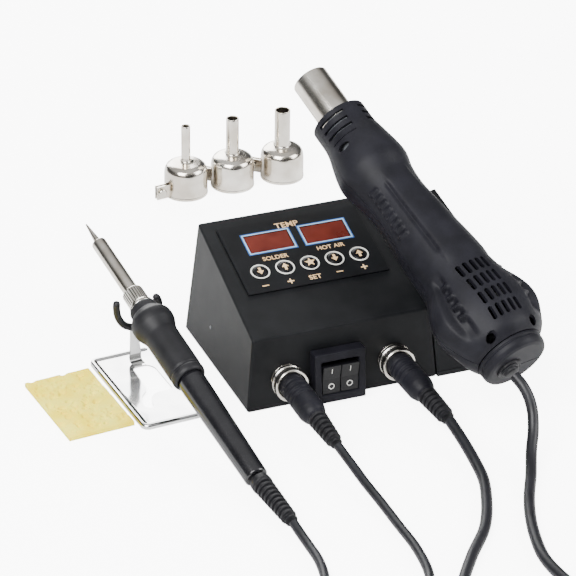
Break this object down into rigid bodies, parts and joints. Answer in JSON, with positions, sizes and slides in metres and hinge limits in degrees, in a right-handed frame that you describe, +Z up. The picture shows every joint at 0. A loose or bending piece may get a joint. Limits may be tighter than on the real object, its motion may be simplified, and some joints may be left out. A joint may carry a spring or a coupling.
{
  "type": "soldering station",
  "caption": "Two-in-one rework station: a black wedge-shaped control box with a cradled hot-air gun, a soldering iron on a chrome stand, a sponge and loose air nozzles",
  "frame": {"origin": "centre of the control box's underside, where its base rests on the bench", "axes": "+X right along the box's width seen from the front, +Y from the front face to the back, +Z up"},
  "size_m": [0.2697, 0.5902, 0.1481],
  "materials": {
    "painted_steel": "fine matt black powder coat",
    "black_plastic": "moulded matt black plastic",
    "gloss_black": "glossy black plastic",
    "black_rubber": "soft black rubber",
    "chrome": "bright chrome plating",
    "bare_steel": "bare steel, lightly worn",
    "red_window": "deep red translucent window",
    "circuit_board": "green solder mask",
    "dark_metal": "dark grey metal can",
    "copper_winding": "lacquered copper winding",
    "ceramic": "unglazed ceramic",
    "sponge_yellow": "compressed cellulose sponge"
  },
  "bodies": {
    "station": {"housing_shell": "painted_steel", "base_plate": "painted_steel", "rubber_strip_front": "black_rubber", "rubber_strip_rear": "black_rubber", "power_board": "circuit_board", "power_transformer": "copper_winding", "smoothing_capacitor": "dark_metal", "heat_sink": "bare_steel", "mains_inlet": "black_plastic", "panel_overlay": "gloss_black", "display_window_left": "red_window", "display_window_right": "red_window", "display_module_left": "gloss_black", "display_module_right": "gloss_black", "control_board": "circuit_board", "socket_left": "chrome", "socket_right": "chrome", "plug_left": "black_plastic", "plug_right": "black_plastic", "switch_frame": "black_plastic", "gun_holder": "black_plastic", "iron_cord_lead": "black_rubber", "iron_cord_return": "black_rubber", "gun_cord_lead": "black_rubber", "gun_cord_return": "black_rubber", "iron_cord_coil": "black_rubber", "gun_cord_coil": "black_rubber"},
    "button_1": {"button_1": "gloss_black"},
    "button_2": {"button_2": "gloss_black"},
    "button_3": {"button_3": "gloss_black"},
    "button_4": {"button_4": "gloss_black"},
    "button_5": {"button_5": "gloss_black"},
    "rocker_left": {"rocker_left": "black_plastic"},
    "rocker_right": {"rocker_right": "black_plastic"},
    "coupling_ring_left": {"coupling_ring_left": "chrome"},
    "coupling_ring_right": {"coupling_ring_right": "chrome"},
    "hot_air_gun": {"gun_shell_top": "black_plastic", "gun_shell_bottom": "black_plastic", "gun_rear_cap": "black_plastic", "gun_cable_gland": "black_rubber", "air_tube": "bare_steel", "tube_insulator": "ceramic", "air_heater": "ceramic", "fan_motor": "dark_metal"},
    "fan": {"fan_rotor": "gloss_black"},
    "soldering_iron": {"iron_handle": "black_plastic", "iron_grip": "black_rubber", "barrel_nut": "chrome", "tip_sleeve": "bare_steel", "iron_tip": "bare_steel", "iron_heater": "ceramic", "iron_boot": "black_rubber"},
    "iron_stand": {"stand_base": "chrome", "stand_horns": "black_rubber"},
    "sponge": {"sponge": "sponge_yellow"},
    "nozzle_1": {"nozzle_1": "bare_steel"},
    "nozzle_2": {"nozzle_2": "bare_steel"},
    "nozzle_3": {"nozzle_3": "bare_steel"}
  },
  "joints": [
    {"name": "press_1", "type": "slide", "parent": "station", "child": "button_1", "axis": [0, -0.2711, 0.9625], "range_m": [-0.0005, 0], "stiffness_N_per_m": 400},
    {"name": "press_2", "type": "slide", "parent": "station", "child": "button_2", "axis": [0, -0.2711, 0.9625], "range_m": [-0.0005, 0], "stiffness_N_per_m": 400},
    {"name": "press_3", "type": "slide", "parent": "station", "child": "button_3", "axis": [0, -0.2711, 0.9625], "range_m": [-0.0005, 0], "stiffness_N_per_m": 400},
    {"name": "press_4", "type": "slide", "parent": "station", "child": "button_4", "axis": [0, -0.2711, 0.9625], "range_m": [-0.0005, 0], "stiffness_N_per_m": 400},
    {"name": "press_5", "type": "slide", "parent": "station", "child": "button_5", "axis": [0, -0.2711, 0.9625], "range_m": [-0.0005, 0], "stiffness_N_per_m": 400},
    {"name": "rock_left", "type": "hinge", "parent": "station", "child": "rocker_left", "pos_m": [-0.0103, -0.05354, 0.01688], "axis": [-1, 0, 0], "range_deg": [0, 16]},
    {"name": "rock_right", "type": "hinge", "parent": "station", "child": "rocker_right", "pos_m": [0.0009, -0.05354, 0.01688], "axis": [-1, 0, 0], "range_deg": [0, 16]},
    {"name": "turn_ring_left", "type": "hinge", "parent": "station", "child": "coupling_ring_left", "pos_m": [-0.035, -0.05743, 0.01849], "axis": [0, -0.997, 0.0779], "continuous": true},
    {"name": "turn_ring_right", "type": "hinge", "parent": "station", "child": "coupling_ring_right", "pos_m": [0.0305, -0.05743, 0.01849], "axis": [0, -0.997, 0.0779], "continuous": true},
    {"name": "lift_gun", "type": "slide", "parent": "station", "child": "hot_air_gun", "axis": [-0.2311, -0.4894, 0.8409], "range_m": [0, 0.06]},
    {"name": "spin_fan", "type": "hinge", "parent": "hot_air_gun", "child": "fan", "pos_m": [0.06612, -0.0803, 0.05896], "axis": [-0.2153, 0.8686, 0.4464], "continuous": true},
    {"name": "lift_iron", "type": "slide", "parent": "station", "child": "soldering_iron", "axis": [0.0469, -0.2993, 0.953], "range_m": [0, 0.06]},
    {"name": "push_stand", "type": "slide", "parent": "station", "child": "iron_stand", "axis": [-0.0663, 0.9978, 0], "range_m": [0, 0.06]},
    {"name": "lift_sponge", "type": "slide", "parent": "station", "child": "sponge", "axis": [0, 0, 1], "range_m": [0, 0.06]},
    {"name": "lift_nozzle_1", "type": "slide", "parent": "station", "child": "nozzle_1", "axis": [0, 0, 1], "range_m": [0, 0.06]},
    {"name": "lift_nozzle_2", "type": "slide", "parent": "station", "child": "nozzle_2", "axis": [0, 0, 1], "range_m": [0, 0.06]},
    {"name": "lift_nozzle_3", "type": "slide", "parent": "station", "child": "nozzle_3", "axis": [0, 0, 1], "range_m": [0, 0.06]}
  ]
}
